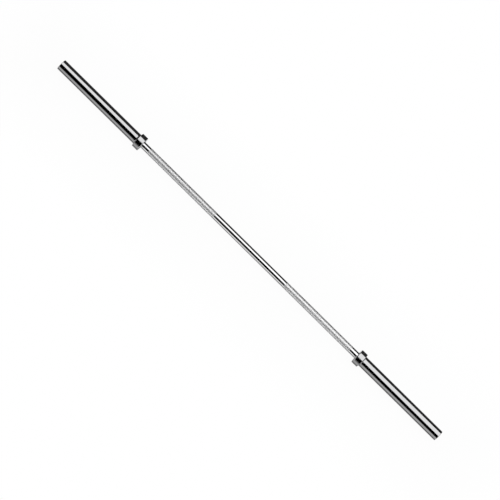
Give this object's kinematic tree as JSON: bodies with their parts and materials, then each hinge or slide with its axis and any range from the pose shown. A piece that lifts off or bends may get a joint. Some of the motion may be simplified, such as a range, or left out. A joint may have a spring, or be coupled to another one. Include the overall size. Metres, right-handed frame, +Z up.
{
  "type": "olympic barbell",
  "caption": "Long steel bar with knurled grips and plain plate sleeves that spin on bronze bushes behind ring collars, for lifting weight plates.",
  "frame": {"origin": "middle of the bar, on its axis", "axes": "+X along the bar, +Z up"},
  "size_m": [2.2, 0.068, 0.068],
  "materials": {
    "shaft_chrome": "polished",
    "sleeve_chrome": "polished",
    "bronze": "satin",
    "seal_rubber": "matte",
    "cap_steel": "satin",
    "washer_steel": "satin",
    "spring_steel": "satin"
  },
  "bodies": {
    "shaft": {"shaft": "shaft_chrome", "left_inner_thrust_washer": "washer_steel", "left_outer_thrust_washer": "washer_steel", "left_retaining_ring": "spring_steel", "right_inner_thrust_washer": "washer_steel", "right_outer_thrust_washer": "washer_steel", "right_retaining_ring": "spring_steel"},
    "left_sleeve_unit": {"left_sleeve": "sleeve_chrome", "left_collar": "sleeve_chrome", "left_inner_bush": "bronze", "left_outer_bush": "bronze", "left_grease_seal": "seal_rubber", "left_end_cap": "cap_steel", "left_cap_ring": "spring_steel"},
    "right_sleeve_unit": {"right_sleeve": "sleeve_chrome", "right_collar": "sleeve_chrome", "right_inner_bush": "bronze", "right_outer_bush": "bronze", "right_grease_seal": "seal_rubber", "right_end_cap": "cap_steel", "right_cap_ring": "spring_steel"}
  },
  "joints": [
    {"name": "left_sleeve_spin", "type": "hinge", "parent": "shaft", "child": "left_sleeve_unit", "pos_m": [-0.8625, 0, 0], "axis": [1, 0, 0], "continuous": true},
    {"name": "right_sleeve_spin", "type": "hinge", "parent": "shaft", "child": "right_sleeve_unit", "pos_m": [0.8625, 0, 0], "axis": [1, 0, 0], "continuous": true}
  ]
}
